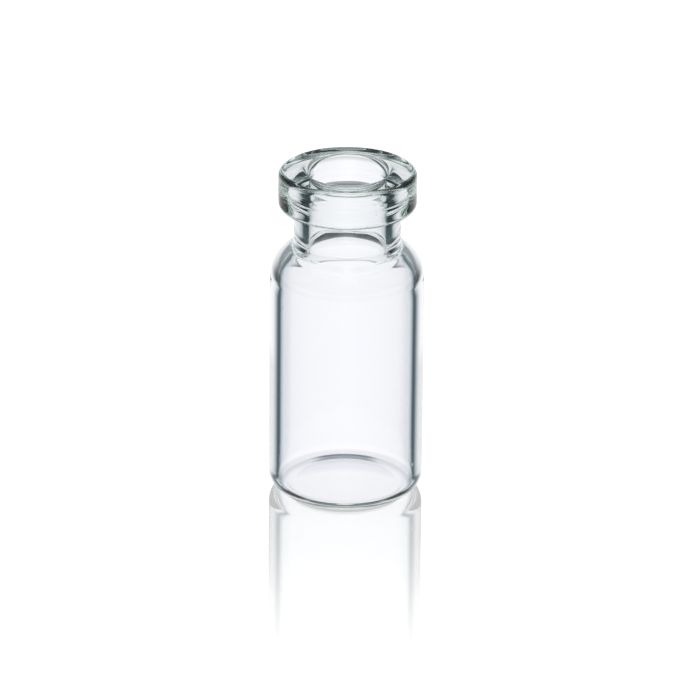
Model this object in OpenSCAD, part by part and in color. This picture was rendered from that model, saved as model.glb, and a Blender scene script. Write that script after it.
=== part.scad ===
// Open glass sample vial for a 13 mm crimp cap, 2 mL size: one piece of clear tubing glass.
// The glass is a turned section: heel and pushed-up base, thin body wall, drawn-in shoulder,
// thicker neck, and a heavy rounded flange round a plain bore.
// The origin is on the axis, on the plane that the vial stands on. Up is +Z.

/* [Body] */
// outside diameter of the body tube
body_d = 14.5; // [11.6:0.1:20]
// overall height, from the standing ring to the top of the lip
height = 32; // [26:0.5:60]
// wall of the body tube
wall = 0.85; // [0.6:0.05:1.3]

/* [Base] */
// outside radius that rounds the wall into the base
heel_r = 1.7; // [0.8:0.1:2.6]
// inside radius where the wall meets the floor
floor_r = 0.8; // [0.5:0.1:2.4]
// glass thickness in the middle of the base
base_t = 0.75; // [0.6:0.05:1.8]
// how far the middle of the base is pushed up off the bench
push_up = 0.45; // [0.2:0.05:1]
// width of the flat ring that touches the bench
ring_w = 0.6; // [0.3:0.1:1.2]

/* [Shoulder] */
// distance from the top of the lip down to where the body starts to draw in
shoulder_drop = 10.6; // [8.8:0.1:13]
// steepest slope of the shoulder, measured from the axis
shoulder_slope = 62; // [45:1:75]
// outside radius at the top of the body
shoulder_r = 3.2; // [1.5:0.1:4]
// outside radius where the shoulder runs up into the neck
nape_r = 0.85; // [0.4:0.05:1.6]
// glass thickness through the shoulder
shoulder_t = 1.05; // [0.8:0.05:1.4]
// inside radius under the shoulder
inner_shoulder_r = 2.3; // [1:0.1:3]
// inside radius where the shoulder opens into the bore
throat_r = 1.5; // [0.6:0.1:2.4]

/* [Neck and flange] */
// outside diameter of the neck
neck_d = 10.05; // [9:0.05:12.1]
// bore of the neck, which takes the stopper plug
bore_d = 7.2; // [6:0.1:8.7]
// outside diameter of the crimp flange
flange_d = 13; // [10.8:0.1:15.6]
// height of the crimp flange
flange_t = 3.8; // [3:0.1:4.8]
// radius of the flange's top edge
flange_top_r = 0.6; // [0.2:0.05:1.1]
// radius of the flange's lower edge
flange_low_r = 0.8; // [0.2:0.05:1.2]
// radius where the neck meets the underside of the flange
root_r = 0.25; // [0.1:0.05:0.6]
// radius of the lip's edge round the bore
lip_r = 0.6; // [0.1:0.05:0.9]

/* [Hidden] */
$fn = 96;
// Longest share of a step in radius that its two rounded corners may fill.
fill = 0.97;
// Clearance that carries the hollow out past the lip.
past = 1;

body_r = body_d / 2;
inner_r = body_r - wall;
neck_r = neck_d / 2;
bore_r = bore_d / 2;
flange_r = flange_d / 2;

// Base: the underside and the floor are two spherical caps about one centre.
ring_r = body_r - heel_r - ring_w;
dome_r = (pow(ring_r, 2) + pow(push_up, 2)) / (2 * push_up);
dome_z = push_up - dome_r;
floor_dome_r = dome_r + base_t;
corner_r = inner_r - floor_r;
corner_z = dome_z + sqrt(pow(floor_dome_r + floor_r, 2) - pow(corner_r, 2));
meet = floor_dome_r / (floor_dome_r + floor_r);
meet_r = corner_r * meet;
meet_z = dome_z + (corner_z - dome_z) * meet;

// Shoulder: outside and inside each run arc, straight slope, arc; the slopes are parallel.
slope_sin = sin(shoulder_slope);
slope_cos = cos(shoulder_slope);
turn = 1 - slope_cos;
shoulder_z = height - shoulder_drop;
outer_fit = min(1, fill * (body_r - neck_r) / ((shoulder_r + nape_r) * turn));
top_r = shoulder_r * outer_fit;
nape = nape_r * outer_fit;
slope_start = [body_r - top_r * turn, shoulder_z + top_r * slope_sin];
slope_len = (slope_start[0] - neck_r - nape * turn) / slope_sin;
nape_z = slope_start[1] + slope_len * slope_cos + nape * slope_sin;
slope_end = [neck_r + nape * turn, nape_z - nape * slope_sin];

inner_fit = min(1, fill * (inner_r - bore_r) / ((inner_shoulder_r + throat_r) * turn));
in_top_r = inner_shoulder_r * inner_fit;
throat = throat_r * inner_fit;
inside = slope_start - shoulder_t * [slope_cos, slope_sin];
in_start_len = (inside[0] - inner_r + in_top_r * turn) / slope_sin;
in_end_len = (inside[0] - bore_r - throat * turn) / slope_sin;
in_start = inside + in_start_len * [-slope_sin, slope_cos];
in_end = inside + in_end_len * [-slope_sin, slope_cos];
in_top_z = in_start[1] - in_top_r * slope_sin;
throat_z = in_end[1] + throat * slope_sin;

// Flange: its two lower radii share the step that the neck leaves under it.
under_z = height - flange_t;
step = flange_r - neck_r;
low_r = min(flange_low_r, step * 0.65);
root = min(root_r, step * 0.3);

// A disc of the section, drawn at a radius and a height.
module disc(at_r, at_z, r) {
    translate([at_r, at_z])
        circle(r = r);
}

// The outside of the glass, from the axis out.
module outer_section() {
    difference() {
        union() {
            polygon([
                [0, 0],
                [body_r - heel_r, 0],
                [body_r, heel_r],
                [body_r, shoulder_z],
                slope_start,
                slope_end,
                [neck_r, nape_z],
                [neck_r, under_z - root],
                [neck_r + root, under_z],
                [flange_r - low_r, under_z],
                [flange_r, under_z + low_r],
                [flange_r, height - flange_top_r],
                [flange_r - flange_top_r, height],
                [0, height]
            ]);
            disc(body_r - heel_r, heel_r, heel_r);
            disc(body_r - top_r, shoulder_z, top_r);
            disc(flange_r - low_r, under_z + low_r, low_r);
            disc(flange_r - flange_top_r, height - flange_top_r, flange_top_r);
        }
        disc(0, dome_z, dome_r);
        disc(neck_r + nape, nape_z, nape);
        disc(neck_r + root, under_z - root, root);
    }
}

// The hollow: the room inside the body, the throat and the bore.
module hollow_section() {
    difference() {
        union() {
            polygon([
                [0, meet_z],
                [meet_r, meet_z],
                [inner_r, corner_z],
                [inner_r, in_top_z],
                in_start,
                in_end,
                [bore_r, throat_z],
                [bore_r, height - lip_r],
                [bore_r + lip_r, height],
                [bore_r + lip_r, height + past],
                [0, height + past]
            ]);
            disc(corner_r, corner_z, floor_r);
            disc(inner_r - in_top_r, in_top_z, in_top_r);
        }
        disc(0, dome_z, floor_dome_r);
        disc(bore_r + throat, throat_z, throat);
        disc(bore_r + lip_r, height - lip_r, lip_r);
    }
}

module vial() {
    color([0.80, 0.90, 0.88, 0.6])
        rotate_extrude()
            difference() {
                outer_section();
                hollow_section();
            }
}

vial();
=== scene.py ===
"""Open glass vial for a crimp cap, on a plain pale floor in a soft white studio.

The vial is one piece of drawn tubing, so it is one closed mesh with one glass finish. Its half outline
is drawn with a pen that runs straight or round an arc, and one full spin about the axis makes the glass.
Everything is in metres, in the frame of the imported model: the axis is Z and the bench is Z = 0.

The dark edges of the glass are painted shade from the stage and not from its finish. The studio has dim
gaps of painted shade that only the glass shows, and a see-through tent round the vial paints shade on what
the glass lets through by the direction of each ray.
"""

import logging
import math
from dataclasses import dataclass, field
from enum import Enum

import bmesh
import bpy
from mathutils import Euler, Matrix, Vector


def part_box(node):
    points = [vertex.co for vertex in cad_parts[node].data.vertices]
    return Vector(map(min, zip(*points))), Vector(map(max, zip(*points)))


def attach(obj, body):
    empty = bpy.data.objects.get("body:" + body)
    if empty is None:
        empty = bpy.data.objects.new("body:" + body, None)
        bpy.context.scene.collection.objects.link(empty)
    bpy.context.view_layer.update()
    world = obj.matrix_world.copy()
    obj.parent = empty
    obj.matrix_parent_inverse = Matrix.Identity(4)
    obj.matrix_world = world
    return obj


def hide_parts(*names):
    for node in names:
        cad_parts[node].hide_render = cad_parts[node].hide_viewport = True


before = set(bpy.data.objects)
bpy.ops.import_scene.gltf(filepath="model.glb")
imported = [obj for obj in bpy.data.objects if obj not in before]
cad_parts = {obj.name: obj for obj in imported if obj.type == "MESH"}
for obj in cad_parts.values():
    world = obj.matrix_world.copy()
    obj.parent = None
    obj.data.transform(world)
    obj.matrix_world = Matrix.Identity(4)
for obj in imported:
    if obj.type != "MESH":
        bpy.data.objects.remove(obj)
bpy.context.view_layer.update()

LOG = logging.getLogger("crimp_vial")
MM = 0.001
HALF_TURN = 180.0
# Light Path counts turns of a ray in whole numbers, so these tell at least one, two or three of them.
ONCE = 0.5
TWICE = 1.5
THRICE = 2.5
Colour = tuple[float, float, float]
Span = tuple[float, float]
Stops = tuple[tuple[float, Colour], ...]


def grey(value: float) -> Colour:
    """A neutral colour of one value."""
    return (value, value, value)


def in_metres(span: Span) -> Span:
    """A span in millimetres, given in metres."""
    return (span[0] * MM, span[1] * MM)


def in_radians(span: Span) -> Span:
    """A span in degrees, given in radians."""
    return (math.radians(span[0]), math.radians(span[1]))


def scaled(stops: Stops, whole: float, start: float = 0.0) -> Stops:
    """Brings the places of colour stops into the range from 0 to 1.

    Args:
        stops: places in their own unit, each with its colour.
        whole: length of the whole range.
        start: where the range starts.

    Returns:
        The same colours at their places from 0 to 1.
    """
    return tuple(((at - start) / whole, colour) for at, colour in stops)


@dataclass(frozen=True)
class GlassSizes:
    """Sizes of the blown glass, in millimetres, as the maker would draw them.

    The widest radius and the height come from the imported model; the rest are the section's own sizes.
    """

    height: float
    body_r: float
    wall: float = 0.85
    heel_r: float = 1.7
    floor_r: float = 0.8
    base_t: float = 0.75
    push_up: float = 0.45
    ring_w: float = 0.6
    shoulder_drop: float = 10.6
    shoulder_slope: float = 62.0
    shoulder_r: float = 3.2
    nape_r: float = 0.85
    shoulder_t: float = 1.05
    inner_shoulder_r: float = 2.3
    throat_r: float = 1.5
    neck_r: float = 5.025
    bore_r: float = 3.6
    flange_r: float = 6.5
    flange_t: float = 3.8
    flange_top_r: float = 0.6
    flange_low_r: float = 0.8
    root_r: float = 0.25
    lip_r: float = 0.6

    @classmethod
    def from_model(cls, node: str) -> "GlassSizes":
        """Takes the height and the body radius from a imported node.

        Args:
            node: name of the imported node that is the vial.

        Returns:
            The sizes, with the model's own height and body radius.
        """
        low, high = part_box(node)
        return cls(height=round((high[2] - low[2]) / MM, 2), body_r=round((high[0] - low[0]) / MM / 2, 2))

    @property
    def inner_r(self) -> float:
        """Radius of the room inside the body."""
        return self.body_r - self.wall

    @property
    def ring_r(self) -> float:
        """Inside radius of the flat ring that the vial stands on."""
        return self.body_r - self.heel_r - self.ring_w

    @property
    def dome_r(self) -> float:
        """Radius of the pushed-up cap under the base."""
        return (self.ring_r**2 + self.push_up**2) / (2 * self.push_up)

    @property
    def dome_z(self) -> float:
        """Height of the centre that the underside and the floor share."""
        return self.push_up - self.dome_r

    @property
    def under_z(self) -> float:
        """Height of the flange's underside."""
        return self.height - self.flange_t

    @property
    def shoulder_z(self) -> float:
        """Height where the body starts to draw in."""
        return self.height - self.shoulder_drop


class OutlinePen:
    """Draws a half outline in the XZ plane, one vertex after another, with mesh operators."""

    def __init__(self, mesh: bmesh.types.BMesh, r: float, z: float) -> None:
        """Sets the pen down.

        Args:
            mesh: mesh that the pen draws in.
            r: distance from the axis, in millimetres.
            z: height above the bench, in millimetres.
        """
        self.mesh = mesh
        made = bmesh.ops.create_vert(mesh, co=(r * MM, 0.0, z * MM))
        self.tip: bmesh.types.BMVert = made["vert"][0]

    @property
    def at(self) -> tuple[float, float]:
        """Where the pen is, as radius and height in millimetres."""
        return self.tip.co.x / MM, self.tip.co.z / MM

    def run_to(self, r: float, z: float, steps: int = 1) -> None:
        """Draws a straight run of equal steps.

        Args:
            r: radius at the end of the run, in millimetres.
            z: height at the end of the run, in millimetres.
            steps: number of edges in the run.
        """
        here_r, here_z = self.at
        step = Vector(((r - here_r) * MM / steps, 0.0, (z - here_z) * MM / steps))
        for _ in range(steps):
            made = bmesh.ops.extrude_vert_indiv(self.mesh, verts=[self.tip])
            self.tip = made["verts"][0]
            bmesh.ops.translate(self.mesh, verts=[self.tip], vec=step)

    def turn_about(self, r: float, z: float, degrees: float, steps: int) -> None:
        """Draws an arc, anticlockwise with the radius to the right and up at the top.

        Args:
            r: radius of the arc's centre, in millimetres.
            z: height of the arc's centre, in millimetres.
            degrees: angle swept, negative for clockwise.
            steps: number of edges in the arc.
        """
        made = bmesh.ops.spin(
            self.mesh,
            geom=[self.tip],
            cent=(r * MM, 0.0, z * MM),
            axis=(0.0, -1.0, 0.0),
            angle=math.radians(degrees),
            steps=steps,
            use_merge=False,
            use_duplicate=False,
        )
        self.tip = next(g for g in made["geom_last"] if isinstance(g, bmesh.types.BMVert))


@dataclass(frozen=True)
class FlameBand:
    """A zone that the flame left slightly uneven: a few soft lobes round the axis.

    Heights and depths are in millimetres. The lobes fade in and out over the band.
    """

    low: float
    high: float
    fade: float
    depth: float
    lobes: tuple[tuple[int, float, float], ...]

    def share(self, z: float) -> float:
        """How strongly the band acts at a height.

        Args:
            z: height above the bench, in millimetres.

        Returns:
            0 outside the band, 1 well inside it.
        """
        rise = min(max((z - self.low) / self.fade, 0.0), 1.0)
        fall = min(max((self.high - z) / self.fade, 0.0), 1.0)
        both = min(rise, fall)
        return both * both * (3.0 - 2.0 * both)

    def wave(self, angle: float, z: float) -> float:
        """The lobes' sum at a place.

        Args:
            angle: direction from the axis, in radians.
            z: height above the bench, in millimetres.

        Returns:
            A value from -1 to 1.
        """
        total = sum(part for _, part, _ in self.lobes)
        return sum(
            part * math.sin(count * angle + drift * z + count * 1.7) for count, part, drift in self.lobes
        ) / total


@dataclass(frozen=True)
class ToolRings:
    """Faint rings that the forming plug leaves round the bore. Sizes are in millimetres."""

    low: float = 28.7
    high: float = 31.3
    fade: float = 0.5
    pitch: float = 0.7
    depth: float = 0.018

    def swell(self, z: float) -> float:
        """How far the bore's skin stands in or out at a height.

        Args:
            z: height above the bench, in millimetres.

        Returns:
            The change in radius, in millimetres.
        """
        share = min(max((z - self.low) / self.fade, 0.0), max((self.high - z) / self.fade, 0.0), 1.0)
        turn = math.tau * (z - self.low) / self.pitch
        return self.depth * share * (0.75 * math.sin(turn) + 0.25 * math.sin(2.0 * turn + 1.0))


class GlassSide(Enum):
    """Which skin of the glass a point lies on."""

    OUTSIDE = "outside"
    INSIDE = "inside"


class NodeSheet:
    """Places and joins shader nodes in one tree."""

    def __init__(self, tree: bpy.types.NodeTree) -> None:
        """Keeps the tree to work in."""
        self.tree = tree

    def add(self, kind: str, **settings: object) -> bpy.types.Node:
        """Adds a node.

        Args:
            kind: node type.
            **settings: properties set on the node.

        Returns:
            The new node.
        """
        node = self.tree.nodes.new(kind)
        for name, value in settings.items():
            setattr(node, name, value)
        return node

    def join(self, source: bpy.types.NodeSocket, target: bpy.types.NodeSocket) -> None:
        """Links an output to an input."""
        self.tree.links.new(source, target)

    def math(
        self,
        operation: str,
        first: bpy.types.NodeSocket | float,
        second: bpy.types.NodeSocket | float = 0.0,
        clamp: bool = False,
    ) -> bpy.types.NodeSocket:
        """Adds a Math node.

        Args:
            operation: what it works out.
            first: first value or socket.
            second: second value or socket.
            clamp: keeps the result from 0 to 1.

        Returns:
            The result's socket.
        """
        node = self.add("ShaderNodeMath", operation=operation, use_clamp=clamp)
        for place, value in enumerate((first, second)):
            if isinstance(value, bpy.types.NodeSocket):
                self.join(value, node.inputs[place])
            else:
                node.inputs[place].default_value = value
        return node.outputs[0]

    def blend(
        self,
        share: bpy.types.NodeSocket | float,
        first: bpy.types.NodeSocket | None,
        second: bpy.types.NodeSocket,
        way: str = "MIX",
    ) -> bpy.types.NodeSocket:
        """Adds a colour Mix node.

        Args:
            share: how much of the second colour shows.
            first: first colour, or None for white.
            second: second colour.
            way: how the colours combine.

        Returns:
            The mixed colour's socket.
        """
        node = self.add("ShaderNodeMix", data_type="RGBA", blend_type=way)
        for name, value in (("Factor_Float", share), ("A_Color", first), ("B_Color", second)):
            socket = next(s for s in node.inputs if s.identifier == name)
            if isinstance(value, bpy.types.NodeSocket):
                self.join(value, socket)
            elif value is None:
                socket.default_value = (1.0, 1.0, 1.0, 1.0)
            else:
                socket.default_value = value
        return next(s for s in node.outputs if s.identifier == "Result_Color")

    def soft_step(
        self, value: bpy.types.NodeSocket, start: float, end: float, falls: bool = False
    ) -> bpy.types.NodeSocket:
        """Adds a soft step.

        Args:
            value: what the step goes by.
            start: value where it starts.
            end: value where it ends.
            falls: runs from 1 to 0 instead of from 0 to 1.

        Returns:
            The step's socket.
        """
        node = self.add("ShaderNodeMapRange", interpolation_type="SMOOTHSTEP")
        node.inputs["From Min"].default_value = start
        node.inputs["From Max"].default_value = end
        node.inputs["To Min"].default_value = 1.0 if falls else 0.0
        node.inputs["To Max"].default_value = 0.0 if falls else 1.0
        self.join(value, node.inputs["Value"])
        return node.outputs["Result"]

    def band(
        self, value: bpy.types.NodeSocket, middle_half: Span, full: float = 0.7
    ) -> bpy.types.NodeSocket:
        """Adds a soft band of heights.

        Args:
            value: height in metres.
            middle_half: the band's middle and half width, in millimetres.
            full: share of the half width that is at full strength.

        Returns:
            The band's socket, 1 inside it and 0 outside.
        """
        middle, half = in_metres(middle_half)
        off = self.math("ABSOLUTE", self.math("SUBTRACT", value, middle))
        return self.soft_step(off, full * half, half, True)

    def plain(self, colour: Colour) -> bpy.types.NodeSocket:
        """Adds a plain colour."""
        node = self.add("ShaderNodeRGB")
        node.outputs[0].default_value = (*colour, 1.0)
        return node.outputs[0]

    def ramp(self, value: bpy.types.NodeSocket, stops: Stops) -> bpy.types.NodeSocket:
        """Adds a colour ramp with straight blends.

        Args:
            value: socket that drives the ramp.
            stops: places from 0 to 1, each with its colour.

        Returns:
            The colour's socket.
        """
        node = self.add("ShaderNodeValToRGB")
        band = node.color_ramp
        band.interpolation = "LINEAR"
        while len(band.elements) > 1:
            band.elements.remove(band.elements[-1])
        band.elements[0].position = stops[0][0]
        band.elements[0].color = (*stops[0][1], 1.0)
        for place, colour in stops[1:]:
            band.elements.new(place).color = (*colour, 1.0)
        self.join(value, node.inputs["Fac"])
        return node.outputs["Color"]


class DrawnGlassSkin:
    """Shader node group for the skin of drawn tubing: draw lines, flame waviness and tiny specks."""

    NAME = "drawn_glass_skin"
    RARE = 0.93
    WAVE_SHARE = 0.6
    LINE_SHARE = 0.4
    SPECK_BLUR = 0.35

    @classmethod
    def tree(cls) -> bpy.types.NodeTree:
        """Builds the group once and returns it.

        Returns:
            The node group, with Height, Roughness and Tint outputs.
        """
        ready = bpy.data.node_groups.get(cls.NAME)
        if ready is not None:
            return ready
        tree = bpy.data.node_groups.new(cls.NAME, "ShaderNodeTree")
        for label, value, top in (
            ("Line Scale", 900.0, 5000.0),
            ("Wave Scale", 160.0, 2000.0),
            ("Speck Scale", 420.0, 3000.0),
            ("Speck Size", 0.08, 1.0),
        ):
            socket = tree.interface.new_socket(label, in_out="INPUT", socket_type="NodeSocketFloat")
            socket.default_value = value
            socket.min_value = 0.0
            socket.max_value = top
        for label, kind in (
            ("Height", "NodeSocketFloat"),
            ("Roughness", "NodeSocketFloat"),
            ("Tint", "NodeSocketColor"),
        ):
            tree.interface.new_socket(label, in_out="OUTPUT", socket_type=kind)
        sheet = NodeSheet(tree)
        given = sheet.add("NodeGroupInput")
        result = sheet.add("NodeGroupOutput")
        place = sheet.add("ShaderNodeTexCoord").outputs["Object"]

        stretch = sheet.add("ShaderNodeMapping")
        stretch.inputs["Scale"].default_value = (1.0, 1.0, 0.02)
        sheet.join(place, stretch.inputs["Vector"])
        lines = sheet.add("ShaderNodeTexNoise")
        lines.inputs["Detail"].default_value = 2.0
        sheet.join(stretch.outputs[0], lines.inputs["Vector"])
        sheet.join(given.outputs["Line Scale"], lines.inputs["Scale"])

        waves = sheet.add("ShaderNodeTexNoise")
        waves.inputs["Detail"].default_value = 1.0
        sheet.join(place, waves.inputs["Vector"])
        sheet.join(given.outputs["Wave Scale"], waves.inputs["Scale"])

        cells = sheet.add("ShaderNodeTexVoronoi")
        sheet.join(place, cells.inputs["Vector"])
        sheet.join(given.outputs["Speck Scale"], cells.inputs["Scale"])
        core = sheet.math("LESS_THAN", cells.outputs["Distance"], given.outputs["Speck Size"])
        picks = sheet.add("ShaderNodeSeparateColor")
        sheet.join(cells.outputs["Color"], picks.inputs["Color"])
        rare = sheet.math("GREATER_THAN", picks.outputs[0], cls.RARE)
        speck = sheet.math("MULTIPLY", core, rare)

        soft = sheet.math("MULTIPLY", waves.outputs["Fac"], cls.WAVE_SHARE)
        fine = sheet.math("MULTIPLY", lines.outputs["Fac"], cls.LINE_SHARE)
        height = sheet.math("ADD", soft, fine)
        sheet.join(sheet.math("ADD", height, speck), result.inputs["Height"])
        sheet.join(sheet.math("MULTIPLY", speck, cls.SPECK_BLUR), result.inputs["Roughness"])
        tint = sheet.ramp(speck, ((0.0, grey(1.0)), (1.0, (0.62, 0.7, 0.72))))
        sheet.join(tint, result.inputs["Tint"])
        return tree


@dataclass(frozen=True)
class ClearGlass:
    """Finish of clear, faintly green drawn tubing."""

    name: str = "clear_tubing_glass"
    ior: float = 1.5
    body_colour: Colour = (0.36, 0.745, 0.585)
    body_density: float = 14.0
    line_scale: float = 700.0
    wave_scale: float = 110.0
    speck_scale: float = 520.0
    speck_size: float = 0.1
    relief: float = 0.0000012

    def build(self) -> bpy.types.Material:
        """Builds the material.

        Returns:
            Glass with a plain index, transmission and tint in depth, and a finely worked skin.
        """
        material = bpy.data.materials.new(self.name)
        material.use_nodes = True
        tree = material.node_tree
        tree.nodes.clear()
        sheet = NodeSheet(tree)
        glass = sheet.add("ShaderNodeBsdfPrincipled")
        glass.inputs["Transmission Weight"].default_value = 1.0
        glass.inputs["Metallic"].default_value = 0.0
        glass.inputs["IOR"].default_value = self.ior
        skin = sheet.add("ShaderNodeGroup", node_tree=DrawnGlassSkin.tree())
        skin.inputs["Line Scale"].default_value = self.line_scale
        skin.inputs["Wave Scale"].default_value = self.wave_scale
        skin.inputs["Speck Scale"].default_value = self.speck_scale
        skin.inputs["Speck Size"].default_value = self.speck_size
        bump = sheet.add("ShaderNodeBump")
        bump.inputs["Strength"].default_value = 1.0
        bump.inputs["Distance"].default_value = self.relief
        sheet.join(skin.outputs["Height"], bump.inputs["Height"])
        sheet.join(skin.outputs["Tint"], glass.inputs["Base Color"])
        sheet.join(skin.outputs["Roughness"], glass.inputs["Roughness"])
        sheet.join(bump.outputs["Normal"], glass.inputs["Normal"])
        depth = sheet.add("ShaderNodeVolumeAbsorption")
        depth.inputs["Color"].default_value = (*self.body_colour, 1.0)
        depth.inputs["Density"].default_value = self.body_density
        output = sheet.add("ShaderNodeOutputMaterial")
        sheet.join(glass.outputs[0], output.inputs["Surface"])
        sheet.join(depth.outputs[0], output.inputs["Volume"])
        return material


@dataclass
class CrimpVial:
    """The whole vial: heel and pushed-up base, thin body, drawn-in shoulder, neck and crimp flange.

    The flame leaves the glass within still_r of the axis as it is. That radius and the two slacks, which
    tell the skins apart, are in millimetres; the weld is in metres.
    """

    sizes: GlassSizes
    name: str = "vial_glass"
    around: int = 256
    glass: ClearGlass = field(default_factory=ClearGlass)
    flame_bands: tuple[FlameBand, ...] = ()
    rings: ToolRings = field(default_factory=ToolRings)
    weld: float = 0.0000005
    still_r: float = 0.5
    skin_slack: float = 0.02
    bore_slack: float = 0.01

    def build(self) -> bpy.types.Object:
        """Makes the glass, dresses it and hangs it on the frame.

        Returns:
            The finished piece.
        """
        mesh = bmesh.new()
        self.draw_outline(mesh)
        bmesh.ops.spin(
            mesh,
            geom=list(mesh.verts) + list(mesh.edges),
            cent=(0.0, 0.0, 0.0),
            axis=(0.0, 0.0, 1.0),
            angle=math.tau,
            steps=self.around,
            use_merge=True,
            use_duplicate=False,
        )
        bmesh.ops.remove_doubles(mesh, verts=list(mesh.verts), dist=self.weld)
        bmesh.ops.recalc_face_normals(mesh, faces=list(mesh.faces))
        self.work_in_flame(mesh)
        for face in mesh.faces:
            face.smooth = True
        data = bpy.data.meshes.new(self.name)
        mesh.to_mesh(data)
        mesh.free()
        piece = bpy.data.objects.new(self.name, data)
        bpy.context.scene.collection.objects.link(piece)
        data.materials.append(self.glass.build())
        piece.visible_shadow = False
        piece.visible_diffuse = False
        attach(piece, "root")
        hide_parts("vial")
        return piece

    def draw_outline(self, mesh: bmesh.types.BMesh) -> None:
        """Draws the half section from the middle of the underside, over the lip, to the floor inside.

        Args:
            mesh: empty mesh that takes the outline.
        """
        pen = OutlinePen(mesh, 0.0, self.sizes.push_up)
        self.draw_outer_base(pen)
        self.draw_outer_shoulder(pen)
        self.draw_flange(pen)
        self.draw_throat(pen)
        self.draw_floor(pen)

    def draw_outer_base(self, pen: OutlinePen) -> None:
        """Draws the pushed-up underside, the standing ring and the heel.

        Args:
            pen: pen at the middle of the underside.
        """
        s = self.sizes
        under = math.degrees(math.asin(s.ring_r / s.dome_r))
        pen.turn_about(0.0, s.dome_z, -under, 14)
        pen.run_to(s.body_r - s.heel_r, 0.0, 2)
        pen.turn_about(s.body_r - s.heel_r, s.heel_r, 90.0, 18)
        pen.run_to(s.body_r, s.shoulder_z, 24)

    def draw_outer_shoulder(self, pen: OutlinePen) -> None:
        """Draws the outside of the shoulder and the nape, up to the flange.

        Args:
            pen: pen at the top of the body.
        """
        s = self.sizes
        slope = math.radians(s.shoulder_slope)
        turn = 1.0 - math.cos(slope)
        pen.turn_about(s.body_r - s.shoulder_r, s.shoulder_z, s.shoulder_slope, 22)
        start_r, start_z = pen.at
        length = (start_r - s.neck_r - s.nape_r * turn) / math.sin(slope)
        end_r = start_r - length * math.sin(slope)
        end_z = start_z + length * math.cos(slope)
        pen.run_to(end_r, end_z)
        pen.turn_about(s.neck_r + s.nape_r, end_z + s.nape_r * math.sin(slope), -s.shoulder_slope, 12)
        pen.run_to(s.neck_r, s.under_z - s.root_r, 6)

    def draw_flange(self, pen: OutlinePen) -> None:
        """Draws the crimp flange, the sealing land and the lip round the bore.

        Args:
            pen: pen on the neck, just under the flange.
        """
        s = self.sizes
        pen.turn_about(s.neck_r + s.root_r, s.under_z - s.root_r, -90.0, 6)
        pen.run_to(s.flange_r - s.flange_low_r, s.under_z, 2)
        pen.turn_about(s.flange_r - s.flange_low_r, s.under_z + s.flange_low_r, 90.0, 12)
        pen.run_to(s.flange_r, s.height - s.flange_top_r, 6)
        pen.turn_about(s.flange_r - s.flange_top_r, s.height - s.flange_top_r, 90.0, 10)
        pen.run_to(s.bore_r + s.lip_r, s.height, 4)
        pen.turn_about(s.bore_r + s.lip_r, s.height - s.lip_r, 90.0, 8)

    def draw_throat(self, pen: OutlinePen) -> None:
        """Draws the bore, the throat and the inside of the shoulder, down to the body's wall.

        Args:
            pen: pen at the top of the bore.
        """
        s = self.sizes
        slope = math.radians(s.shoulder_slope)
        sine, cosine = math.sin(slope), math.cos(slope)
        turn = 1.0 - cosine
        outer_r = s.body_r - s.shoulder_r * turn - s.shoulder_t * cosine
        outer_z = s.shoulder_z + s.shoulder_r * sine - s.shoulder_t * sine
        low_len = (outer_r - s.inner_r + s.inner_shoulder_r * turn) / sine
        high_len = (outer_r - s.bore_r - s.throat_r * turn) / sine
        low_r, low_z = outer_r - low_len * sine, outer_z + low_len * cosine
        high_z = outer_z + high_len * cosine
        throat_z = high_z + s.throat_r * sine
        pen.run_to(s.bore_r, throat_z, 72)
        pen.turn_about(s.bore_r + s.throat_r, throat_z, s.shoulder_slope, 14)
        pen.run_to(low_r, low_z, 2)
        centre_z = low_z - s.inner_shoulder_r * sine
        pen.turn_about(s.inner_r - s.inner_shoulder_r, centre_z, -s.shoulder_slope, 16)

    def draw_floor(self, pen: OutlinePen) -> None:
        """Draws the inner wall, the rounded corner and the domed floor, to the axis.

        Args:
            pen: pen at the top of the inner wall.
        """
        s = self.sizes
        floor_dome = s.dome_r + s.base_t
        corner_r = s.inner_r - s.floor_r
        corner_z = s.dome_z + math.sqrt((floor_dome + s.floor_r) ** 2 - corner_r**2)
        lean = math.degrees(math.asin(corner_r / (floor_dome + s.floor_r)))
        pen.run_to(s.inner_r, corner_z, 24)
        pen.turn_about(corner_r, corner_z, -(90.0 + lean), 18)
        pen.turn_about(0.0, s.dome_z, lean, 14)

    def side_of(self, r: float, z: float) -> GlassSide:
        """Tells the outside skin from the inside one.

        Args:
            r: distance from the axis, in millimetres.
            z: height above the bench, in millimetres.

        Returns:
            The side that the point lies on.
        """
        s = self.sizes
        inside_r = s.inner_r if z < s.shoulder_z else s.bore_r + s.lip_r
        return GlassSide.INSIDE if r <= inside_r + self.skin_slack else GlassSide.OUTSIDE

    def work_in_flame(self, mesh: bmesh.types.BMesh) -> None:
        """Moves the skin in by the flame's small unevenness.

        Args:
            mesh: finished solid of glass.
        """
        for vert in mesh.verts:
            r = math.hypot(vert.co.x, vert.co.y) / MM
            z = vert.co.z / MM
            if r < self.still_r:
                continue
            angle = math.atan2(vert.co.y, vert.co.x)
            way = -1.0 if self.side_of(r, z) is GlassSide.OUTSIDE else 1.0
            move = sum(
                band.depth * band.share(z) * (0.5 + 0.5 * band.wave(angle, z)) for band in self.flame_bands
            )
            if abs(r - self.sizes.bore_r) < self.bore_slack:
                move += self.rings.swell(z)
            scale = 1.0 + way * move / r
            vert.co.x *= scale
            vert.co.y *= scale


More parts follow.
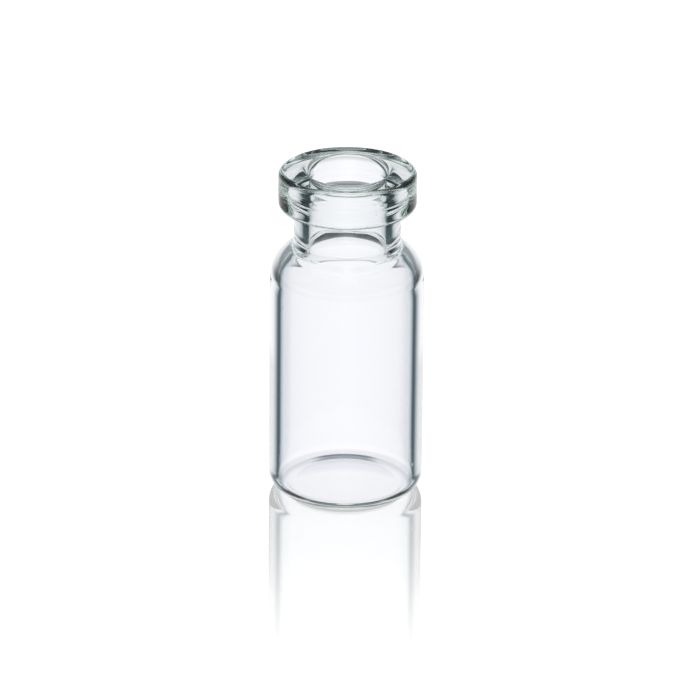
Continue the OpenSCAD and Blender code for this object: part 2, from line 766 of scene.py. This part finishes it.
@dataclass
class PaleFloor:
    """Plain pale floor with a soft polish that fades away from the vial."""

    half: float = 3.0
    name: str = "pale_floor"
    colour: Colour = (0.86, 0.86, 0.86)
    polish: float = 0.55
    polish_full_r: float = 0.006
    polish_end_r: float = 0.048
    blur: float = 0.03

    def build(self) -> bpy.types.Object:
        """Makes the floor.

        Returns:
            The floor object, which is part of the stage.
        """
        mesh = bmesh.new()
        bmesh.ops.create_grid(mesh, x_segments=1, y_segments=1, size=self.half)
        data = bpy.data.meshes.new(self.name)
        mesh.to_mesh(data)
        mesh.free()
        floor = bpy.data.objects.new(self.name, data)
        bpy.context.scene.collection.objects.link(floor)
        data.materials.append(self.finish())
        floor.visible_transmission = False
        floor.visible_glossy = False
        return floor

    def finish(self) -> bpy.types.Material:
        """Builds the floor's finish.

        Returns:
            A pale matt floor with a mirror polish round the vial.
        """
        material = bpy.data.materials.new(self.name)
        material.use_nodes = True
        material.node_tree.nodes.clear()
        sheet = NodeSheet(material.node_tree)
        place = sheet.add("ShaderNodeTexCoord").outputs["Object"]
        reach = sheet.add("ShaderNodeVectorMath", operation="LENGTH")
        sheet.join(place, reach.inputs[0])
        fade = sheet.add("ShaderNodeMapRange", interpolation_type="SMOOTHSTEP")
        fade.inputs["From Min"].default_value = self.polish_full_r
        fade.inputs["From Max"].default_value = self.polish_end_r
        fade.inputs["To Min"].default_value = self.polish
        fade.inputs["To Max"].default_value = 0.0
        sheet.join(reach.outputs["Value"], fade.inputs["Value"])
        matt = sheet.add("ShaderNodeBsdfDiffuse")
        matt.inputs["Color"].default_value = (*self.colour, 1.0)
        mirror = sheet.add("ShaderNodeBsdfGlossy")
        mirror.inputs["Roughness"].default_value = self.blur
        mix = sheet.add("ShaderNodeMixShader")
        sheet.join(fade.outputs["Result"], mix.inputs["Fac"])
        sheet.join(matt.outputs[0], mix.inputs[1])
        sheet.join(mirror.outputs[0], mix.inputs[2])
        output = sheet.add("ShaderNodeOutputMaterial")
        sheet.join(mix.outputs[0], output.inputs["Surface"])
        return material


@dataclass(frozen=True)
class TentRay:
    """What the tent knows of a ray that the glass has let through, as sockets."""

    height: bpy.types.NodeSocket
    level: bpy.types.NodeSocket
    turn: bpy.types.NodeSocket
    share: bpy.types.NodeSocket
    steep: bpy.types.NodeSocket
    bounced: bpy.types.NodeSocket
    often: bpy.types.NodeSocket
    thick: bpy.types.NodeSocket


@dataclass
class PaintedShadeTent:
    """See-through tent close round the vial, which paints the dark shade on the slants that edge clear
    glass.

    Its painted shade only filters what the glass lets through. A slant is the distance at which a ray
    passes the axis, as a share of the hollow's radius at that height. A steep is the sine of a ray's angle
    to the bench. A turn is the angle off the backdrop's middle. A band is its middle height and its half
    width.
    Lengths are in millimetres and angles in degrees.
    """

    name: str = "painted_shade_tent"
    radius: float = 7.8
    low: float = -60.0
    high: float = 90.0
    # Painted edge shade for the body and the neck, and the radius of the hollow that it goes by.
    hollow_r: tuple[tuple[float, float], ...] = (
        (19.6, 6.4), (20.9, 6.1), (22.0, 5.2), (22.6, 4.4), (23.8, 3.6),
    )
    widest_r: float = 10.0
    body_slants: Stops = (
        (0.0, grey(1.0)),
        (0.8, grey(0.97)),
        (0.92, (0.84, 0.87, 0.9)),
        (0.955, (0.48, 0.55, 0.58)),
        (0.98, (0.06, 0.1, 0.11)),
        (1.01, (0.06, 0.1, 0.11)),
        (1.035, (0.4, 0.47, 0.49)),
        (1.07, grey(0.86)),
        (1.12, grey(1.0)),
    )
    neck_slants: Stops = (
        (0.0, grey(1.0)),
        (0.86, grey(0.95)),
        (0.95, (0.6, 0.66, 0.68)),
        (0.99, (0.05, 0.085, 0.09)),
        (1.13, (0.05, 0.085, 0.09)),
        (1.19, (0.5, 0.55, 0.57)),
        (1.27, grey(0.85)),
        (1.5, grey(0.95)),
    )
    slant_span: float = 2.5
    height_span: float = 40.0
    neck_step: Span = (20.5, 23.0)
    # Painted shade beside the flange, for rays turned once or twice inside it.
    flange_shade_turns: Stops = (
        (0.0, grey(1.0)),
        (60.0, grey(1.0)),
        (85.0, (0.45, 0.5, 0.49)),
        (110.0, (0.35, 0.42, 0.4)),
        (140.0, (0.4, 0.48, 0.46)),
        (165.0, grey(1.0)),
    )
    flange_shade_step: Span = (24.8, 25.8)
    # Painted shade on rays leaving towards the back, which draws the dark arcs in the base and under the
    # flange.
    arc_shade_turn: Span = (38.0, 55.0)
    foot_band: Span = (-2.0, 1.6)
    foot_fade: Span = (0.34, 0.62)
    foot_steeps: Stops = (
        (0.0, grey(0.86)),
        (0.28, grey(0.86)),
        (0.34, grey(1.0)),
        (0.5, grey(1.0)),
        (0.54, (0.16, 0.16, 0.17)),
        (0.6, (0.08, 0.13, 0.2)),
        (0.74, (0.16, 0.2, 0.24)),
        (0.86, grey(1.0)),
    )
    top_zones: Stops = (
        (19.4, grey(0.0)),
        (19.9, grey(1.0)),
        (21.1, grey(1.0)),
        (21.6, grey(0.0)),
        (28.0, grey(0.0)),
        (28.5, grey(1.0)),
        (29.9, grey(1.0)),
        (30.5, grey(0.0)),
    )
    top_steeps: Stops = (
        (0.0, (0.28, 0.27, 0.28)),
        (0.14, (0.2, 0.23, 0.24)),
        (0.205, (0.18, 0.22, 0.23)),
        (0.23, grey(1.0)),
        (0.6, grey(1.0)),
        (0.7, grey(0.8)),
        (1.0, grey(0.85)),
    )
    # Gap in the painted edge shade behind the shoulder, for level rays.
    gap_turn: Span = (44.0, 50.0)
    gap_steep: Span = (0.1, 0.16)
    gap_band: Span = (23.1, 0.9)
    # Painted soft shade low down, behind the base.
    foot_shades: Stops = (
        (-15.0, grey(1.0)),
        (-10.0, grey(0.87)),
        (-2.2, grey(0.88)),
        (-1.7, (0.72, 0.74, 0.77)),
        (-1.1, (0.72, 0.74, 0.77)),
        (-0.7, grey(0.86)),
        (0.1, grey(0.87)),
        (0.5, grey(1.0)),
    )
    depth_low: float = -20.0
    depth_span: float = 25.0
    # Painted dark shade for rays turned many times, and for any turned ray that leaves under the bench.
    deep: Colour = (0.24, 0.26, 0.26)
    deep_end: Span = (11.0, 13.0)
    under_end: Span = (-13.0, -10.0)

    def build(self) -> bpy.types.Object:
        """Makes the tent that paints the dark edge shade of the glass.

        Returns:
            The tent object, which is part of the stage.
        """
        mesh = bmesh.new()
        made = bmesh.ops.create_circle(mesh, segments=128, radius=self.radius * MM)
        bmesh.ops.translate(mesh, verts=made["verts"], vec=(0.0, 0.0, self.low * MM))
        raised = bmesh.ops.extrude_edge_only(mesh, edges=list(mesh.edges))
        rim = [part for part in raised["geom"] if isinstance(part, bmesh.types.BMVert)]
        bmesh.ops.translate(mesh, verts=rim, vec=(0.0, 0.0, (self.high - self.low) * MM))
        bmesh.ops.recalc_face_normals(mesh, faces=list(mesh.faces))
        for face in mesh.faces:
            face.smooth = True
        data = bpy.data.meshes.new(self.name)
        mesh.to_mesh(data)
        mesh.free()
        tent = bpy.data.objects.new(self.name, data)
        bpy.context.scene.collection.objects.link(tent)
        data.materials.append(self.finish())
        tent.visible_camera = False
        tent.visible_diffuse = False
        tent.visible_glossy = False
        tent.visible_shadow = False
        tent.visible_volume_scatter = False
        return tent

    def passing_way(self, sheet: NodeSheet) -> tuple[bpy.types.NodeSocket, bpy.types.NodeSocket]:
        """Works out how far from the axis a ray passes, and how steep it is, from its slant to the tent's
        wall.

        Args:
            sheet: the tent's node sheet.

        Returns:
            Sockets for the distance in millimetres and for the sine of the ray's steepness.
        """
        square = sheet.add("ShaderNodeLayerWeight")
        square.inputs["Blend"].default_value = 0.5
        level = sheet.add("ShaderNodeLayerWeight")
        level.inputs["Blend"].default_value = 0.5
        upright = sheet.add("ShaderNodeCombineXYZ")
        upright.inputs["Z"].default_value = 1.0
        sheet.join(upright.outputs[0], level.inputs["Normal"])
        facing = sheet.math("SUBTRACT", 1.0, square.outputs["Facing"])
        steep = sheet.math("SUBTRACT", 1.0, level.outputs["Facing"])
        flat = sheet.math("SQRT", sheet.math("SUBTRACT", 1.0, sheet.math("POWER", steep, 2.0)))
        turned = sheet.math("DIVIDE", facing, flat, clamp=True)
        slant = sheet.math("SQRT", sheet.math("SUBTRACT", 1.0, sheet.math("POWER", turned, 2.0)))
        return sheet.math("MULTIPLY", slant, self.radius), steep

    def painted_edge_shade(self, sheet: NodeSheet, ray: TentRay) -> bpy.types.NodeSocket:
        """Builds the painted shade that edges the body and the neck, with a gap in it behind the shoulder.

        Args:
            sheet: the tent's node sheet.
            ray: what the tent knows of a ray.

        Returns:
            The filter colour's socket.
        """
        place = sheet.math("DIVIDE", ray.share, self.slant_span)
        body = sheet.ramp(place, scaled(self.body_slants, self.slant_span))
        neck = sheet.ramp(place, scaled(self.neck_slants, self.slant_span))
        upper = sheet.soft_step(ray.height, *in_metres(self.neck_step))
        band = sheet.band(ray.height, self.gap_band)
        level = sheet.soft_step(ray.steep, *self.gap_steep, True)
        aside = sheet.soft_step(ray.turn, *in_radians(self.gap_turn), True)
        gap = sheet.math("MULTIPLY", sheet.math("MULTIPLY", band, level), aside)
        return sheet.blend(gap, sheet.blend(upper, body, neck), sheet.plain(grey(1.0)))

    def painted_flange_shade(self, sheet: NodeSheet, ray: TentRay) -> bpy.types.NodeSocket:
        """Builds the painted shade beside the flange.

        Args:
            sheet: the tent's node sheet.
            ray: what the tent knows of a ray.

        Returns:
            The filter colour's socket.
        """
        sides = sheet.ramp(sheet.math("DIVIDE", ray.turn, math.pi), scaled(self.flange_shade_turns, HALF_TURN))
        beside = sheet.soft_step(ray.height, *in_metres(self.flange_shade_step))
        beside = sheet.math("MULTIPLY", beside, sheet.math("SUBTRACT", 1.0, ray.often))
        return sheet.blend(sheet.math("MULTIPLY", ray.bounced, beside), None, sides)

    def painted_arc_shade(self, sheet: NodeSheet, ray: TentRay) -> bpy.types.NodeSocket:
        """Builds the painted shade behind the vial, which draws the dark arcs in the base and under the
        flange.

        Args:
            sheet: the tent's node sheet.
            ray: what the tent knows of a ray.

        Returns:
            The filter colour's socket.
        """
        behind = sheet.soft_step(ray.turn, *in_radians(self.arc_shade_turn), True)
        plain = sheet.math("MAXIMUM", sheet.math("SUBTRACT", 1.0, ray.bounced), ray.thick)
        plain = sheet.math("MULTIPLY", plain, behind)
        foot = sheet.band(ray.height, self.foot_band)
        foot = sheet.math("MULTIPLY", foot, sheet.soft_step(ray.share, *self.foot_fade, True))
        top = sheet.ramp(ray.level, scaled(self.top_zones, self.height_span))
        foot_shade = sheet.ramp(ray.steep, self.foot_steeps)
        painted_foot_arcs = sheet.blend(sheet.math("MULTIPLY", plain, foot), None, foot_shade)
        top_shade = sheet.ramp(ray.steep, self.top_steeps)
        painted_top_arcs = sheet.blend(sheet.math("MULTIPLY", plain, top), None, top_shade)
        return sheet.blend(1.0, painted_foot_arcs, painted_top_arcs, "MULTIPLY")

    def shades(self, sheet: NodeSheet, ray: TentRay) -> bpy.types.NodeSocket:
        """Builds the painted soft shade behind the base and the painted dark shade for much turned rays.

        Args:
            sheet: the tent's node sheet.
            ray: what the tent knows of a ray.

        Returns:
            The filter colour's socket.
        """
        depth = sheet.math("MULTIPLY", ray.height, 1.0 / (self.depth_span * MM))
        depth = sheet.math("ADD", depth, -self.depth_low / self.depth_span)
        soft = sheet.ramp(depth, scaled(self.foot_shades, self.depth_span, self.depth_low))
        low = sheet.soft_step(ray.height, *in_metres(self.deep_end), True)
        under = sheet.soft_step(ray.height, *in_metres(self.under_end), True)
        much = sheet.math("MULTIPLY", ray.often, low)
        lost = sheet.math("MAXIMUM", much, sheet.math("MULTIPLY", ray.bounced, under))
        return sheet.blend(1.0, soft, sheet.blend(lost, None, sheet.plain(self.deep)), "MULTIPLY")

    def finish(self) -> bpy.types.Material:
        """Builds the tent's filter, which paints shade on what the glass lets through.

        Returns:
            A see-through material whose strength goes by the ray's place, slant and steepness.
        """
        material = bpy.data.materials.new(self.name)
        material.use_nodes = True
        material.node_tree.nodes.clear()
        sheet = NodeSheet(material.node_tree)
        place = sheet.add("ShaderNodeSeparateXYZ")
        sheet.join(sheet.add("ShaderNodeTexCoord").outputs["Object"], place.inputs[0])
        height = place.outputs["Z"]
        level = sheet.math("MULTIPLY", height, 1.0 / (self.height_span * MM))
        widths = tuple((z / self.height_span, grey(r / self.widest_r)) for z, r in self.hollow_r)
        hollow = sheet.math("MULTIPLY", sheet.ramp(level, widths), self.widest_r)
        distance, steep = self.passing_way(sheet)
        path = sheet.add("ShaderNodeLightPath")
        ray = TentRay(
            height=height,
            level=level,
            turn=sheet.math("ABSOLUTE", sheet.math("ARCTAN2", place.outputs["X"], place.outputs["Y"])),
            share=sheet.math("DIVIDE", distance, hollow),
            steep=steep,
            bounced=sheet.math("GREATER_THAN", path.outputs["Glossy Depth"], ONCE),
            often=sheet.math("GREATER_THAN", path.outputs["Glossy Depth"], THRICE),
            thick=sheet.math("GREATER_THAN", path.outputs["Transmission Depth"], THRICE),
        )
        clear = sheet.add("ShaderNodeBsdfTransparent")
        # Painted shade: the edge, flange, arc and low shades multiply into what the glass lets through.
        edges = sheet.blend(1.0, self.painted_edge_shade(sheet, ray), self.painted_flange_shade(sheet, ray), "MULTIPLY")
        shaded = sheet.blend(1.0, self.painted_arc_shade(sheet, ray), self.shades(sheet, ray), "MULTIPLY")
        sheet.join(sheet.blend(1.0, edges, shaded, "MULTIPLY"), clear.inputs["Color"])
        output = sheet.add("ShaderNodeOutputMaterial")
        sheet.join(clear.outputs[0], output.inputs["Surface"])
        return material


@dataclass
class StudioLight:
    """Soft white light from all round, with dim gaps of painted shade that only rays through the glass or
    mirrored off it see.

    Each height stop pairs the sine of a direction's height above the horizon with what the glass shows
    there; each turn stop pairs the angle off the backdrop's middle, in degrees, with what it shows.
    """

    strength: float = 1.3
    straight: Stops = (
        (-1.0, (0.95, 0.95, 0.97)),
        (-0.75, (0.95, 0.95, 0.97)),
        (-0.6, (0.86, 0.87, 0.9)),
        (-0.45, (1.03, 1.02, 1.07)),
        (-0.25, (1.04, 1.03, 1.08)),
        (-0.05, (0.9, 0.91, 0.94)),
        (0.1, (0.86, 0.87, 0.9)),
        (0.3, (1.12, 1.12, 1.16)),
        (0.6, (1.12, 1.12, 1.16)),
        (1.0, (0.9, 0.9, 0.92)),
    )
    high: Stops = (
        (0.0, grey(1.0)),
        (0.08, grey(0.9)),
        (0.16, (0.27, 0.32, 0.33)),
        (0.3, (0.25, 0.3, 0.31)),
        (0.6, (0.34, 0.38, 0.38)),
        (0.9, (0.5, 0.53, 0.52)),
        (1.0, grey(0.9)),
    )
    turned: Stops = (
        (0.0, grey(1.0)),
        (16.0, grey(0.9)),
        (26.0, grey(0.55)),
        (34.0, (0.16, 0.2, 0.21)),
        (44.0, (0.03, 0.05, 0.055)),
        (60.0, (0.05, 0.07, 0.075)),
        (75.0, (0.3, 0.34, 0.33)),
        (110.0, (0.42, 0.5, 0.44)),
        (150.0, (0.4, 0.5, 0.44)),
        (180.0, (0.38, 0.48, 0.43)),
    )
    mirrored: Stops = (
        (0.0, grey(1.1)),
        (30.0, grey(1.0)),
        (60.0, (0.3, 0.32, 0.33)),
        (120.0, (0.3, 0.32, 0.33)),
        (180.0, (0.45, 0.46, 0.48)),
    )
    # The turned light fades in and out over these heights.
    turned_low: Span = (-0.86, -0.76)
    turned_high: Span = (0.1, 0.2)
    # Between these heights a ray that is turned only once misses it.
    once_low: Span = (-0.6, -0.5)
    once_high: Span = (-0.2, -0.12)

    def build(self) -> bpy.types.World:
        """Makes the world light.

        Returns:
            The scene's world.
        """
        world = bpy.data.worlds.new("soft_studio")
        bpy.context.scene.world = world
        world.use_nodes = True
        world.node_tree.nodes.clear()
        sheet = NodeSheet(world.node_tree)
        way = sheet.add("ShaderNodeSeparateXYZ")
        sheet.join(sheet.add("ShaderNodeTexCoord").outputs["Generated"], way.inputs[0])
        rise = way.outputs["Z"]
        turn = sheet.math("ABSOLUTE", sheet.math("ARCTAN2", way.outputs["X"], way.outputs["Y"]))
        share = sheet.math("DIVIDE", turn, math.pi)
        path = sheet.add("ShaderNodeLightPath")
        through = self.seen_through(sheet, path, rise, share)
        mirrored = sheet.ramp(share, scaled(self.mirrored, HALF_TURN))
        upward = sheet.ramp(rise, self.high)
        above = sheet.math("GREATER_THAN", rise, 0.0)
        mirrored = sheet.blend(above, mirrored, upward)
        white = sheet.add("ShaderNodeBackground")
        white.inputs["Color"].default_value = (1.0, 1.0, 1.0, 1.0)
        white.inputs["Strength"].default_value = self.strength
        shaped = sheet.add("ShaderNodeBackground")
        shaped.inputs["Strength"].default_value = 1.0
        # Only rays through the glass and sharp mirror rays off it see the painted dark gaps; every other
        # ray sees plain white.
        sharp = sheet.math("MULTIPLY", path.outputs["Is Singular Ray"], path.outputs["Is Glossy Ray"])
        inside = sheet.math("GREATER_THAN", path.outputs["Transmission Depth"], ONCE)
        sheet.join(sheet.blend(inside, mirrored, through), shaped.inputs["Color"])
        mix = sheet.add("ShaderNodeMixShader")
        sheet.join(sheet.math("MAXIMUM", inside, sharp), mix.inputs["Fac"])
        sheet.join(white.outputs[0], mix.inputs[1])
        sheet.join(shaped.outputs[0], mix.inputs[2])
        output = sheet.add("ShaderNodeOutputWorld")
        sheet.join(mix.outputs[0], output.inputs["Surface"])
        return world

    def seen_through(
        self,
        sheet: NodeSheet,
        path: bpy.types.Node,
        rise: bpy.types.NodeSocket,
        share: bpy.types.NodeSocket,
    ) -> bpy.types.NodeSocket:
        """What the studio shows through the glass, straight or turned inside it, with its painted dark
        gaps.

        Args:
            sheet: the world's node sheet.
            path: Light Path node.
            rise: sine of the direction's height.
            share: angle off the backdrop's middle, from 0 to 1.

        Returns:
            The colour's socket.
        """
        half = sheet.math("ADD", sheet.math("MULTIPLY", rise, 0.5), 0.5)
        straight = sheet.ramp(half, scaled(self.straight, 2.0, -1.0))
        turned = sheet.ramp(share, scaled(self.turned, HALF_TURN))
        bounced = sheet.math("GREATER_THAN", path.outputs["Glossy Depth"], ONCE)
        thick = sheet.math("GREATER_THAN", path.outputs["Transmission Depth"], THRICE)
        again = sheet.math("GREATER_THAN", path.outputs["Glossy Depth"], TWICE)
        much = sheet.math("MAXIMUM", thick, again)
        steep = sheet.soft_step(rise, *self.once_low, True)
        flat = sheet.soft_step(rise, *self.once_high)
        other = sheet.math("MAXIMUM", much, sheet.math("MAXIMUM", steep, flat))
        low = sheet.soft_step(rise, *self.turned_low)
        high = sheet.soft_step(rise, *self.turned_high, True)
        reach = sheet.math("MULTIPLY", low, high)
        reach = sheet.math("MULTIPLY", reach, sheet.math("MULTIPLY", bounced, other))
        side = sheet.blend(reach, None, turned)
        once = sheet.math("SUBTRACT", bounced, much, True)
        upward = sheet.blend(once, None, sheet.ramp(rise, self.high))
        return sheet.blend(1.0, sheet.blend(1.0, straight, side, "MULTIPLY"), upward, "MULTIPLY")


@dataclass(frozen=True)
class ProductCamera:
    """Long lens a little above the vial, tipped down at it.

    Lengths are in metres, angles in degrees, and the lens and the film's width in millimetres.
    """

    back: float = 0.54981
    up: float = 0.24375
    aside: float = 0.00034
    tip: float = 22.696
    lens: float = 325.3
    film: float = 36.0
    roll: float = 0.52

    def build(self) -> bpy.types.Object:
        """Makes the camera and gives it to the scene.

        Returns:
            The camera object.
        """
        data = bpy.data.cameras.new("product_camera")
        data.lens = self.lens
        data.sensor_width = self.film
        data.clip_start = 0.01
        data.clip_end = 20.0
        camera = bpy.data.objects.new("product_camera", data)
        stand = Matrix.Translation(Vector((self.aside, -self.back, self.up)))
        turn = Euler((math.radians(90.0 - self.tip), 0.0, 0.0)).to_matrix().to_4x4()
        lean = Matrix.Rotation(math.radians(self.roll), 4, "Z")
        camera.matrix_world = stand @ turn @ lean
        bpy.context.scene.collection.objects.link(camera)
        bpy.context.scene.camera = camera
        return camera


def set_view() -> None:
    """Plain colour reproduction, and enough bounces for thick glass."""
    scene = bpy.context.scene
    scene.view_settings.view_transform = "Standard"
    scene.view_settings.look = "None"
    scene.cycles.max_bounces = 24
    scene.cycles.transmission_bounces = 20
    scene.cycles.glossy_bounces = 16
    scene.cycles.transparent_max_bounces = 16


def main() -> None:
    """Builds the stage and the vial, in order."""
    logging.basicConfig(level=logging.INFO, format="%(name)s: %(message)s")
    set_view()
    ProductCamera().build()
    # The world's dim gaps and the tent paint the dark edge shade of the glass.
    StudioLight().build()
    PaintedShadeTent().build()
    floor = PaleFloor().build()
    LOG.info("stage: %s", floor.name)
    flame_bands = (
        FlameBand(27.5, 33.0, 1.5, 0.05, ((3, 1.0, 0.3), (7, 0.6, 1.1), (13, 0.35, 2.0))),
        FlameBand(21.0, 28.5, 1.5, 0.03, ((2, 1.0, 0.2), (5, 0.5, 0.7))),
    )
    vial = CrimpVial(GlassSizes.from_model("vial"), flame_bands=flame_bands)
    piece = vial.build()
    LOG.info("piece: %s, %d faces", piece.name, len(piece.data.polygons))


if __name__ == "__main__":
    main()
